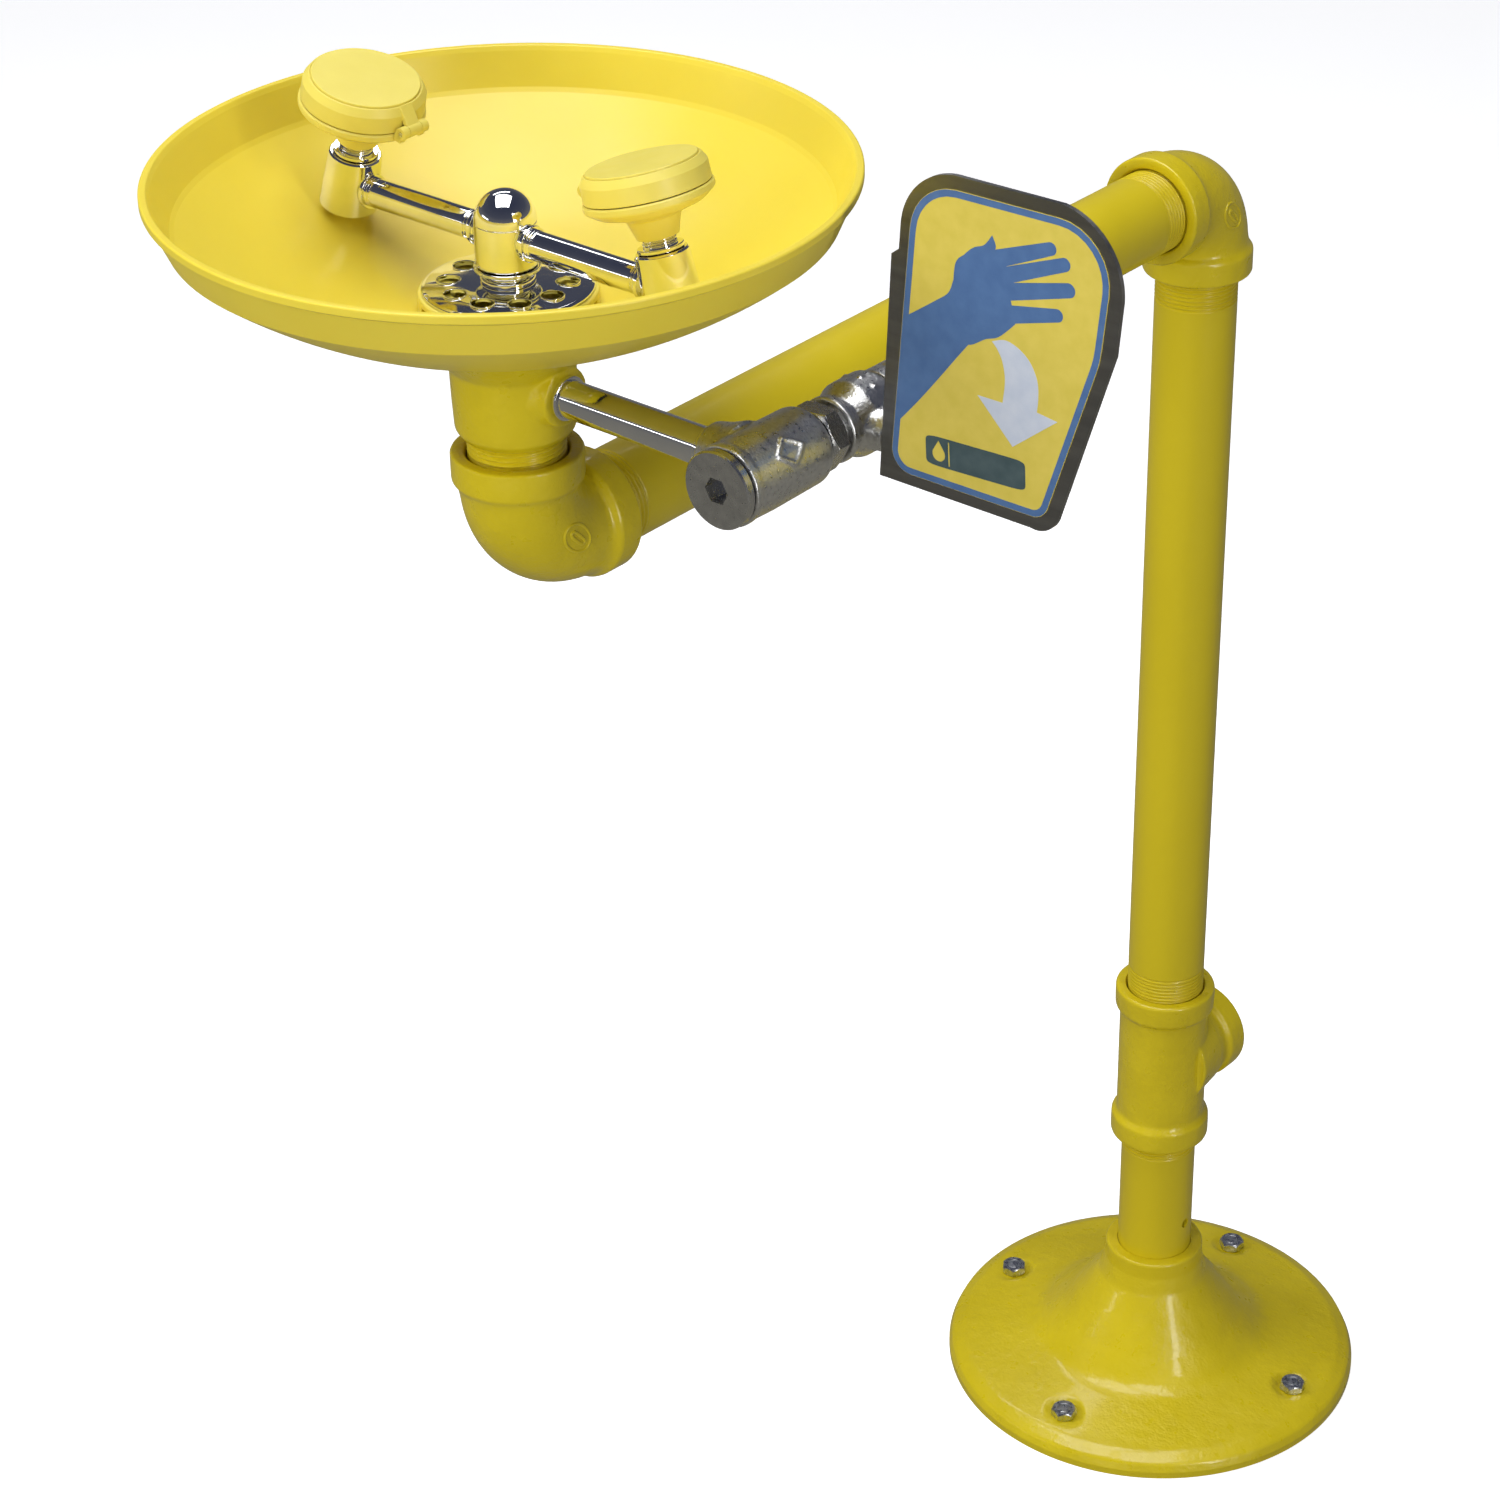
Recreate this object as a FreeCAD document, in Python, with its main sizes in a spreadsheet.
# Pedestal eye and face wash: a floor flange carries a drain pedestal of 1-1/4 inch pipe, whose arm
# reaches forward to a drain body with a bowl on top.  A stop valve with a push plate feeds two
# tilted spray heads through a strainer, a crossing pipe and a central hub.
# Frame: +Z up, origin on the floor at the pedestal's axis, the arm runs along -Y, and the supply
# side is +X.  All lengths are millimetres.
import FreeCAD, Part
import Sketcher
import math
import os
import re

os.makedirs("parts", exist_ok=True)
doc = FreeCAD.newDocument("eye_face_wash")
Vec = FreeCAD.Vector

# ---------------------------------------------------------------------------------------------
# Driving dimensions: one spreadsheet row each, with the alias that every expression uses
# ---------------------------------------------------------------------------------------------
SIZES = [
    ("pipe_outer", 42.2, "outside diameter of 1-1/4 inch pipe"),
    ("pipe_wall", 3.6, "wall of that pipe"),
    ("thread_pitch", 2.2, "pitch of the taper pipe thread, 11-1/2 per inch"),
    ("thread_cut", 0.7, "depth of the thread grooves that show outside a fitting"),
    ("thread_grip", 18, "length of pipe inside a fitting"),
    ("fit_gap", 0.05, "radial gap of a screwed or running fit"),
    ("arm_height", 738, "height of the horizontal arm's axis"),
    ("arm_reach", 495, "pedestal axis to bowl axis"),
    ("fitting_reach", 44.5, "elbow centre to its face"),
    ("band_length", 14, "length of a fitting's reinforcing band"),
    ("band_radius", 27.7, "outside radius of that band"),
    ("casting_radius", 24.8, "outside radius of a fitting's body"),
    ("waterway_radius", 17.5, "bore of a fitting"),
    ("tee_height", 210, "height of the waste tee's centre"),
    ("tee_half_run", 50, "waste tee centre to its upper and lower faces"),
    ("tee_branch", 43, "waste tee centre to the face of its side branch"),
    ("branch_slimmer", 1, "how much slimmer the branch's neck and bore are than the run's"),
    ("flange_radius", 119, "floor flange outside radius"),
    ("flange_top", 13, "height of the flange's upper face at the bolts"),
    ("flange_edge", 4, "height of the flange edge below its rounding"),
    ("flange_round", 8.5, "rounding of the flange edge"),
    ("flange_hub_height", 81, "height of the flange's pipe hub"),
    ("flange_hub_radius", 28, "radius of that hub at its top"),
    ("flange_flare", 34, "radius of the flare between the hub and the plate"),
    ("bolt_ring", 96, "radius of the bolt circle"),
    ("bolt_turn", 4, "angle of the first bolt from +X, degrees"),
    ("bolt_radius", 4, "radius of an M8 bolt"),
    ("bolt_slack", 1.2, "radial slack of a bolt in its hole"),
    ("bolt_across", 13, "M8 head across flats"),
    ("bolt_head", 5.3, "M8 head height"),
    ("bolt_below", 32, "length of bolt below the flange"),
    ("weep_radius", 3, "radius of the weep hole in the base nipple"),
    ("weep_height", 101, "height of the weep hole"),
    ("bowl_rim", 142.5, "outside radius of the bowl's rim lip"),
    ("bowl_top", 904, "height of the bowl's rim"),
    ("bowl_corner", 134, "outside radius where the wall meets the dish"),
    ("bowl_corner_height", 884.5, "height of that corner"),
    ("bowl_dish", 220, "spherical radius of the dish"),
    ("bowl_floor", 841, "height of the underside at the centre"),
    ("bowl_wall", 2.8, "bowl wall"),
    ("bowl_hole", 25, "radius of the drain hole in the bowl"),
    ("bowl_flat", 38, "radius of the flat clamping zone"),
    ("seat_gasket", 1.5, "thickness of the two bowl gaskets"),
    ("clamp_radius", 36.5, "radius of the drain clamp ring"),
    ("clamp_height", 8, "height of the clamp ring above its gasket"),
    ("drain_radius", 26, "outside radius of the drain body"),
    ("drain_neck", 20.5, "outside radius of the drain body's threaded neck"),
    ("drain_cavity", 21.5, "radius of the drain body's cavity"),
    ("drain_flange", 36, "radius of the drain body's top flange"),
    ("drain_shoulder", 790, "height of the drain body's lower shoulder"),
    ("drain_tail", 765, "height of the end of the threaded neck"),
    ("supply_height", 813, "height of the supply pipe's axis"),
    ("supply_radius", 7.95, "outside radius of the supply pipe"),
    ("supply_bore", 6.2, "bore of the supply pipe"),
    ("side_boss", 12.5, "radius of the drain body's side boss"),
    ("side_boss_end", 29, "bowl axis to the face of the side boss"),
    ("collar_radius", 9.4, "radius of the collars on the supply pipe"),
    ("riser_radius", 8.6, "outside radius of the riser to the hub"),
    ("riser_bore", 6, "bore of that riser"),
    ("strainer_disc", 35, "radius of the perforated drain disc"),
    ("strainer_sheet", 1.5, "thickness of that disc"),
    ("strainer_hole", 4.5, "radius of its drain holes"),
    ("strainer_ring", 24, "radius of the ring of drain holes"),
    ("hub_radius", 12.8, "radius of the spray hub"),
    ("hub_bottom", 863.7, "height of the hub's lower face"),
    ("spray_height", 875.5, "height of the spray arms' axis"),
    ("arm_tube", 6.2, "outside radius of a spray arm"),
    ("arm_bore", 4.4, "bore of a spray arm"),
    ("head_spacing", 87, "bowl axis to the outlet bodies, along X"),
    ("head_tilt", 15, "lean of the spray heads toward the hub, degrees"),
    ("outlet_radius", 12, "radius of an outlet body at its foot"),
    ("outlet_top_radius", 10.9, "radius of an outlet body at its top"),
    ("outlet_foot", 10.4, "arm axis down to the outlet body's foot"),
    ("outlet_top", 16, "arm axis up to the outlet body's top"),
    ("dish_radius", 25.9, "radius of a spray dish at its rim"),
    ("dish_top", 39.5, "height of the dish's rim above the arm axis"),
    ("dish_wall", 2, "wall of the dish and of the lid"),
    ("lid_radius", 25.3, "radius of a lid"),
    ("lid_gap", 0.4, "gap between dish rim and lid"),
    ("lid_top", 51, "height of the lid's top above the arm axis"),
    ("lid_disc", 22.2, "radius of the lid's flat top"),
    ("hinge_offset", 28.2, "head axis to the lid's hinge axis"),
    ("hinge_height", 41.5, "height of the hinge axis above the arm axis"),
    ("hinge_pin", 1.1, "radius of the hinge pin"),
    ("hinge_barrel", 2.6, "radius of the hinge barrel"),
    ("hinge_width", 14, "length of the whole hinge barrel"),
    ("knuckle_width", 6.4, "length of the lid's middle knuckle"),
    ("knuckle_gap", 0.35, "side gap between knuckles"),
    ("valve_line", 131, "X of the strainer and valve axis"),
    ("strainer_front", 517, "front face of the strainer body, distance along -Y"),
    ("strainer_back", 466, "rear face of the strainer body, distance along -Y"),
    ("strainer_radius", 17, "radius of the strainer body"),
    ("plug_radius", 16.2, "radius of the strainer plug's head"),
    ("plug_head", 4.5, "thickness of that head"),
    ("plug_socket", 10, "hexagon socket across flats"),
    ("adapter_across", 25, "hex adapter across flats"),
    ("adapter_hex", 9, "length of that hexagon"),
    ("valve_centre", 438, "ball centre, distance along -Y"),
    ("valve_radius", 15.5, "radius of the valve body"),
    ("valve_front", 455, "front face of the valve body, distance along -Y"),
    ("valve_joint", 424, "face between valve body and end piece, distance along -Y"),
    ("valve_back", 404, "rear face of the valve's end piece, distance along -Y"),
    ("valve_roll", 3.4, "lean of the valve and its plate about the pipe, degrees"),
    ("inlet_radius", 10.5, "thread radius of the 1/2 inch inlet"),
    ("ball_radius", 9, "radius of the ball"),
    ("ball_bore", 6, "bore of the ball"),
    ("ball_gap", 0.35, "clearance round the ball"),
    ("stem_radius", 4, "radius of the stem"),
    ("stem_boss", 8.5, "radius of the valve's stem boss"),
    ("tab_offset", 27.6, "valve axis to the inner face of the plate's tab"),
    ("plate_sheet", 2, "thickness of the push plate"),
    ("plate_setback", 17.4, "front face of the push plate ahead of the stem axis"),
    ("label_margin", 5, "steel margin round the label"),
    ("label_film", 0.3, "thickness of the label"),
]

sheet = doc.addObject("Spreadsheet::Sheet", "sizes")
for row, (alias, value, note) in enumerate(SIZES, start=1):
    sheet.set(f"A{row}", note)
    sheet.set(f"B{row}", str(value))
    sheet.setAlias(f"B{row}", alias)
doc.recompute()

FUNCTIONS = {"sin", "cos", "tan", "deg"}


def linked(text):
    """Write an expression of size names as references to the sheet's cells."""
    def reference(found):
        word = found.group()
        return word if word in FUNCTIONS else "sizes." + word
    return re.sub(r"[a-z][a-z_]*", reference, str(text))


def worth(text):
    """The number that an expression of size names has now."""
    return float(sheet.evalExpression(linked(text)))


# ---------------------------------------------------------------------------------------------
# Directions: where a piece's own +Z points once it is in place
# ---------------------------------------------------------------------------------------------
UP = FreeCAD.Rotation()
FORWARD = FreeCAD.Rotation(Vec(1, 0, 0), 90)
BACKWARD = FreeCAD.Rotation(Vec(1, 0, 0), -90)
RIGHT = FreeCAD.Rotation(Vec(0, 1, 0), 90)
LEFT = FreeCAD.Rotation(Vec(0, 1, 0), -90)
SIDES = {"left": -1, "right": 1}
HEAD_TURN = {
    "right": FreeCAD.Rotation(Vec(0, 1, 0), -worth("head_tilt")),
    "left": FreeCAD.Rotation(Vec(0, 1, 0), worth("head_tilt")) * FreeCAD.Rotation(Vec(0, 0, 1), 180),
}
VALVE_ROLL = FreeCAD.Rotation(Vec(0, 1, 0), worth("valve_roll"))
STEM_TURN = VALVE_ROLL * RIGHT

PEDESTAL = ("0", "0", "0")
BOWL_AXIS = ("0", "-arm_reach", "0")
VALVE_AXIS = ("valve_line", "0", "supply_height")
STEM_POINT = ("valve_line", "-valve_centre", "supply_height")


def place(piece, at, turn=UP):
    """Put a piece's own origin at a point and turn it, with the point bound to the sheet."""
    piece.Placement = FreeCAD.Placement(Vec(*[worth(c) for c in at]), turn)
    for axis, text in zip("xyz", at):
        piece.setExpression("Placement.Base." + axis, linked(text))
    return piece


def head_point(side):
    """Where a spray head's axis crosses its spray arm."""
    return (f"{SIDES[side]} * head_spacing", "-arm_reach", "spray_height")


# ---------------------------------------------------------------------------------------------
# Sketches, turned bodies and drilled holes
# ---------------------------------------------------------------------------------------------
def base_plane(body, role):
    return next(plane for plane in body.Origin.OriginFeatures if plane.Role == role)


def new_sketch(body, name, role, lift="0"):
    sketch = body.newObject("Sketcher::SketchObject", name)
    sketch.AttachmentSupport = (base_plane(body, role), [""])
    sketch.MapMode = "FlatFace"
    sketch.AttachmentOffset = FreeCAD.Placement(Vec(0, 0, worth(lift)), FreeCAD.Rotation())
    return sketch


def pin_point(sketch, geometry, end, point):
    """Tie one end of an edge to a place given by two expressions."""
    for kind, text in zip(("DistanceX", "DistanceY"), point):
        number = sketch.addConstraint(
            Sketcher.Constraint(kind, -1, 1, geometry, end, worth(text)))
        sketch.setExpression(f"Constraints[{number}]", linked(text))


def arc_between(start, finish, radius, side):
    """The short arc from start to finish whose centre is to the left (side 1) or right (-1)."""
    chord = finish - start
    rise = math.sqrt(radius ** 2 - chord.Length ** 2 / 4)
    across = Vec(-chord.y, chord.x, 0).normalize()
    centre = (start + finish) / 2 + across * rise * side
    first, last = (start, finish) if side > 0 else (finish, start)
    angles = [math.atan2(p.y - centre.y, p.x - centre.x) for p in (first, last)]
    return Part.ArcOfCircle(Part.Circle(centre, Vec(0, 0, 1), radius), *angles)


def draw_outline(sketch, outline):
    """A closed outline of corners; ("arc", radius, side) bends the edge that follows a corner."""
    corners, bends = [], {}
    for item in outline:
        if item[0] == "arc":
            bends[len(corners) - 1] = item[1:]
        else:
            corners.append(item)
    points = [Vec(worth(x), worth(y), 0) for x, y in corners]
    ends = []
    for number, start in enumerate(points):
        finish = points[(number + 1) % len(points)]
        if number in bends:
            radius, side = bends[number]
            sketch.addGeometry(arc_between(start, finish, worth(radius), side), False)
            ends.append((1, 2) if side > 0 else (2, 1))
            bound = sketch.addConstraint(Sketcher.Constraint("Radius", number, worth(radius)))
            sketch.setExpression(f"Constraints[{bound}]", linked(radius))
        else:
            sketch.addGeometry(Part.LineSegment(start, finish), False)
            ends.append((1, 2))
    for number, corner in enumerate(corners):
        follower = (number + 1) % len(corners)
        sketch.addConstraint(Sketcher.Constraint(
            "Coincident", number, ends[number][1], follower, ends[follower][0]))
        pin_point(sketch, number, ends[number][0], corner)


def turned(name, outline, at=PEDESTAL, turn=UP):
    """A piece turned on a lathe: its outline gives radius and height."""
    body = doc.addObject("PartDesign::Body", name)
    sketch = new_sketch(body, name + "_outline", "XZ_Plane")
    draw_outline(sketch, outline)
    spin = body.newObject("PartDesign::Revolution", name + "_turning")
    spin.Profile = sketch
    spin.ReferenceAxis = (sketch, ["V_Axis"])
    spin.Angle = 360
    return place(body, at, turn)


def drill(body, name, role, centres, radius, lift="0", length=None, reverse=False):
    """Cut round holes square to one of the body's planes."""
    sketch = new_sketch(body, name + "_circles", role, lift)
    for number, centre in enumerate(centres):
        middle = Vec(worth(centre[0]), worth(centre[1]), 0)
        sketch.addGeometry(Part.Circle(middle, Vec(0, 0, 1), worth(radius)), False)
        pin_point(sketch, number, 3, centre)
        bound = sketch.addConstraint(Sketcher.Constraint("Radius", number, worth(radius)))
        sketch.setExpression(f"Constraints[{bound}]", linked(radius))
    doc.recompute()
    before = body.Shape.Volume
    pocket = body.newObject("PartDesign::Pocket", name)
    pocket.Profile = sketch
    pocket.Reversed = reverse
    if length is None:
        pocket.Type = "ThroughAll"
        pocket.Midplane = True
    else:
        pocket.Type = "Length"
        pocket.Length = worth(length)
        pocket.setExpression("Length", linked(length))
    doc.recompute()
    if not body.Shape.Volume < before - 0.01:
        raise ValueError(name + " cuts nothing")
    return pocket


def around(body, name, feature, count):
    """Repeat a feature evenly round the body's own Z axis."""
    pattern = body.newObject("PartDesign::PolarPattern", name)
    pattern.Originals = [feature]
    pattern.Axis = (base_plane(body, "Z_Axis"), [""])
    pattern.Angle = 360
    pattern.Occurrences = count
    body.Tip = pattern
    doc.recompute()
    return pattern


def thread(radius, start, count, rising=True):
    """The corners of thread grooves on a turned outline, from one height up or down."""
    step = 1 if rising else -1
    corners = []
    for turn_number in range(count):
        foot = f"({start}) + {step * turn_number} * thread_pitch"
        corners.append((radius, foot))
        corners.append((f"({radius}) - thread_cut", f"({foot}) + {step * 0.5} * thread_pitch"))
    corners.append((radius, f"({start}) + {step * count} * thread_pitch"))
    return corners


def pipe(name, length, start_threads, end_threads, at, turn):
    """Pedestal pipe along its own Z, threaded where it enters the fittings at both ends."""
    outer, inner = "pipe_outer / 2", "pipe_outer / 2 - pipe_wall"
    outline = [(inner, "0"), (outer, "0")]
    outline += thread(outer, "thread_grip", start_threads)
    outline += thread(outer, f"({length}) - thread_grip", end_threads, rising=False)[::-1]
    outline += [(outer, length), (inner, length)]
    return turned(name, outline, at, turn)


# ---------------------------------------------------------------------------------------------
# Part primitives and booleans
# ---------------------------------------------------------------------------------------------
def rod(name, radius, length, at=PEDESTAL, turn=UP):
    solid = doc.addObject("Part::Cylinder", name)
    for key, text in (("Radius", radius), ("Height", length)):
        solid.setExpression(key, linked(text))
    return place(solid, at, turn)


def cone(name, foot, top, length, at=PEDESTAL, turn=UP):
    solid = doc.addObject("Part::Cone", name)
    for key, text in (("Radius1", foot), ("Radius2", top), ("Height", length)):
        setattr(solid, key, worth(text))
        solid.setExpression(key, linked(text))
    return place(solid, at, turn)


def ball(name, radius, at=PEDESTAL):
    solid = doc.addObject("Part::Sphere", name)
    solid.setExpression("Radius", linked(radius))
    return place(solid, at)


def block(name, length, width, tall, at, turn=UP):
    solid = doc.addObject("Part::Box", name)
    for key, text in (("Length", length), ("Width", width), ("Height", tall)):
        solid.setExpression(key, linked(text))
    return place(solid, at, turn)


def hexagon(name, across, length, at=PEDESTAL, turn=UP):
    """A six-sided bar, sized across its flats."""
    solid = doc.addObject("Part::Prism", name)
    solid.Polygon = 6
    solid.setExpression("Circumradius", linked(f"({across}) / 2 / cos(30 * 1deg)"))
    solid.setExpression("Height", linked(length))
    return place(solid, at, turn)


def bend(name, radius, tube, at, turn):
    """A quarter of a torus, centred on the bend's own centre."""
    solid = doc.addObject("Part::Torus", name)
    solid.Angle1, solid.Angle2, solid.Angle3 = -180, 180, 90
    for key, text in (("Radius1", radius), ("Radius2", tube)):
        setattr(solid, key, worth(text))
        solid.setExpression(key, linked(text))
    return place(solid, at, turn)


def joined(name, pieces):
    union = doc.addObject("Part::MultiFuse", name)
    union.Shapes = pieces
    return union


def less(name, solid, tool):
    difference = doc.addObject("Part::Cut", name)
    difference.Base, difference.Tool = solid, tool
    return difference


def shared(name, first, second):
    common = doc.addObject("Part::Common", name)
    common.Base, common.Tool = first, second
    return common


nodes = []


def keep(piece, label):
    """Name a finished sub-part and put it on the list of exported nodes."""
    piece.Label = label
    nodes.append(piece)
    return piece


# ---------------------------------------------------------------------------------------------
# Pedestal: floor flange, bolts, nipple, waste tee, riser, elbows and arm
# ---------------------------------------------------------------------------------------------
def make_floor_flange():
    hub = "pipe_outer / 2 + fit_gap"
    flange = turned("flange_casting", [
        (hub, "flange_hub_height"),
        ("flange_hub_radius", "flange_hub_height"),
        ("flange_hub_radius + 12.5", "flange_top + 35"),
        ("arc", "flange_flare", -1),
        ("flange_hub_radius + 38", "flange_top + 6.5"),
        ("bolt_ring", "flange_top"),
        ("flange_radius - flange_round", "flange_edge + flange_round - 1.5"),
        ("arc", "flange_round", -1),
        ("flange_radius", "flange_edge"),
        ("flange_radius", "0"),
        ("flange_radius - 9", "0"),
        ("flange_radius - 11", "flange_edge"),
        ("flange_hub_radius + 38", "flange_top - 1"),
        ("flange_hub_radius + 4", "flange_hub_height - 41"),
        ("waterway_radius", "flange_hub_height - 41"),
        ("waterway_radius", "flange_hub_height - 35"),
        (hub, "flange_hub_height - 35"),
    ])
    hole = drill(flange, "bolt_hole", "XY_Plane",
                 [("bolt_ring * cos(bolt_turn * 1deg)", "bolt_ring * sin(bolt_turn * 1deg)")],
                 "bolt_radius + bolt_slack")
    around(flange, "bolt_holes", hole, 4)
    face = drill(flange, "spot_face", "XY_Plane",
                 [("bolt_ring * cos(bolt_turn * 1deg)", "bolt_ring * sin(bolt_turn * 1deg)")],
                 "bolt_across / 2 + 2", lift="flange_top", length="flange_round", reverse=True)
    around(flange, "spot_faces", face, 4)
    keep(flange, "floor_flange")


def make_flange_bolts():
    bolts = []
    for number in range(4):
        angle = f"(bolt_turn + {90 * number}) * 1deg"
        spot = (f"bolt_ring * cos({angle})", f"bolt_ring * sin({angle})")
        seat = "flange_top + fit_gap"
        head = hexagon(f"bolt_{number}_hexagon", "bolt_across", "bolt_head", (*spot, seat),
                       FreeCAD.Rotation(Vec(0, 0, 1), 12 + 25 * number))
        crown = cone(f"bolt_{number}_crown", "bolt_across / 2 + 3.4", "bolt_across / 2 - 0.8",
                     "bolt_head", (*spot, seat))
        shank = rod(f"bolt_{number}_shank", "bolt_radius", "flange_top + 1 + bolt_below",
                    (*spot, "-bolt_below"))
        formed = shared(f"bolt_{number}_head", head, crown)
        bolts.append(joined(f"bolt_{number}", [formed, shank]))
    group = doc.addObject("Part::Compound", "bolt_group")
    group.Links = bolts
    keep(group, "flange_bolts")


def make_pedestal_pipes():
    nipple_foot = "flange_hub_height - 34"
    nipple = pipe("nipple_tube", "tee_height - tee_half_run + thread_grip - (flange_hub_height - 34)",
                  0, 4, ("0", "0", nipple_foot), UP)
    drill(nipple, "weep_hole", "YZ_Plane", [("0", "weep_height - (flange_hub_height - 34)")],
          "weep_radius", length="pipe_outer", reverse=True)
    keep(nipple, "base_nipple")

    riser_foot = "tee_height + tee_half_run - thread_grip"
    keep(pipe("riser_tube", "arm_height - fitting_reach + thread_grip"
              " - (tee_height + tee_half_run - thread_grip)", 5, 7,
              ("0", "0", riser_foot), UP), "riser_pipe")
    keep(pipe("arm_tube_piece", "arm_reach - 2 * fitting_reach + 2 * thread_grip", 6, 5,
              ("0", "-fitting_reach + thread_grip", "arm_height"), FORWARD), "arm_pipe")


def make_waste_tee():
    """A straight run with a band and a socket at each end, and a slightly slimmer side branch."""
    foot, socket = "tee_height - tee_half_run", "pipe_outer / 2 + fit_gap"
    upper = "tee_height + tee_half_run"
    walls = [
        rod("tee_run", "casting_radius", "2 * tee_half_run", ("0", "0", foot)),
        rod("tee_lower_band", "band_radius", "band_length", ("0", "0", foot)),
        rod("tee_upper_band", "band_radius", "band_length", ("0", "0", f"{upper} - band_length")),
        rod("tee_branch_neck", "casting_radius - branch_slimmer", "tee_branch",
            ("0", "0", "tee_height"), BACKWARD),
        rod("tee_branch_band", "band_radius", "band_length",
            ("0", "tee_branch - band_length", "tee_height"), BACKWARD)]
    bores = [
        rod("tee_waterway", "waterway_radius", "2 * tee_half_run + 2", ("0", "0", f"{foot} - 1")),
        rod("tee_lower_socket", socket, "thread_grip + 2", ("0", "0", f"{foot} - 1")),
        rod("tee_upper_socket", socket, "thread_grip + 2",
            ("0", "0", f"{upper} - thread_grip - 1")),
        rod("tee_branch_waterway", "waterway_radius - branch_slimmer", "tee_branch + 1",
            ("0", "0", "tee_height"), BACKWARD),
        rod("tee_branch_socket", socket, "thread_grip + 2",
            ("0", "tee_branch - thread_grip - 1", "tee_height"), BACKWARD)]
    keep(less("tee_casting", joined("tee_walls", walls), joined("tee_bores", bores)), "waste_tee")


def make_elbow(label, at, legs, centre_turn):
    """A 90 degree elbow: two banded legs and a quarter torus between them."""
    walls, bores = [], []
    for number, turn in enumerate(legs):
        ahead = turn.multVec(Vec(0, 0, 1))
        start = [f"({c}) + {round(d)} * (fitting_reach - band_length)" for c, d in zip(at, ahead)]
        grip = [f"({c}) + {round(d)} * (fitting_reach - thread_grip)" for c, d in zip(at, ahead)]
        walls.append(rod(f"{label}_band_{number}", "band_radius", "band_length", start, turn))
        bores.append(rod(f"{label}_socket_{number}", "pipe_outer / 2 + fit_gap",
                         "thread_grip + 2", grip, turn))
    corner = [f"({c}) + {round(a + b)} * (fitting_reach - band_length)" for c, a, b in
              zip(at, legs[0].multVec(Vec(0, 0, 1)), legs[1].multVec(Vec(0, 0, 1)))]
    sweep = "fitting_reach - band_length"
    walls.append(bend(label + "_bend", sweep, "casting_radius", corner, centre_turn))
    bores.append(bend(label + "_bore", sweep, "waterway_radius", corner, centre_turn))
    keep(less(label + "_casting", joined(label + "_walls", walls),
              joined(label + "_bores", bores)), label)


def make_elbows():
    # The torus runs from its own +X to its own +Y: for each elbow these point away from its legs.
    flat = FreeCAD.Matrix(0, 0, 1, 0, 1, 0, 0, 0, 0, 1, 0, 0, 0, 0, 0, 1)
    upper = FreeCAD.Placement(flat).Rotation
    make_elbow("top_elbow", ("0", "0", "arm_height"),
               [FreeCAD.Rotation(Vec(1, 0, 0), 180), FORWARD], upper)
    make_elbow("lower_elbow", ("0", "-arm_reach", "arm_height"), [UP, BACKWARD],
               FreeCAD.Rotation(Vec(1, 0, 0), 180) * upper)


# ---------------------------------------------------------------------------------------------
# Drain body, bowl and its clamping
# ---------------------------------------------------------------------------------------------
def make_drain_body():
    """The casting under the bowl: waste falls past a central boss that carries the supply up."""
    shell = turned("drain_shell", [
        ("waterway_radius - 1", "drain_tail"),
        ("drain_neck", "drain_tail"),
        *thread("drain_neck", "drain_tail + thread_grip - 0.5", 3),
        ("drain_neck", "drain_shoulder"),
        ("drain_radius - 2.5", "drain_shoulder"),
        ("drain_radius - 0.8", "drain_shoulder + 2.5"),
        ("drain_radius", "supply_height + 8"),
        ("drain_flange", "bowl_floor - seat_gasket - 6"),
        ("drain_flange", "bowl_floor - seat_gasket"),
        ("bowl_hole - 0.5", "bowl_floor - seat_gasket"),
        ("bowl_hole - 0.5", "bowl_floor - 16"),
        ("drain_cavity", "bowl_floor - 16"),
        ("drain_cavity", "drain_shoulder + 6"),
        ("waterway_radius - 1", "drain_shoulder"),
    ], BOWL_AXIS)
    inlet = ("0", "-arm_reach", "supply_height")
    well = ("0", "-arm_reach", "supply_height - side_boss")
    boss = rod("drain_side_boss", "side_boss", "side_boss_end", inlet, RIGHT)
    post = rod("drain_post", "side_boss - 1.5", "2 * side_boss + 4", well)
    room = less("drain_room", rod("drain_room_cylinder", "drain_cavity", "200",
                                  ("0", "-arm_reach", "drain_tail")),
                rod("drain_room_boss", "side_boss - 1.5", "40", inlet, RIGHT))
    inner_boss = less("drain_boss_outside", boss, room)
    solid = joined("drain_solid", [shell, inner_boss, post])
    bores = joined("drain_bores", [
        rod("drain_inlet", "supply_radius + fit_gap", "20",
            ("14", "-arm_reach", "supply_height"), RIGHT),
        rod("drain_passage", "supply_bore", "20", inlet, RIGHT),
        rod("drain_riser", "supply_bore", "30", inlet),
        rod("drain_riser_socket", "riser_radius + fit_gap", "30",
            ("0", "-arm_reach", "supply_height + 6")),
    ])
    keep(less("drain_casting", solid, bores), "drain_body")


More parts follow.
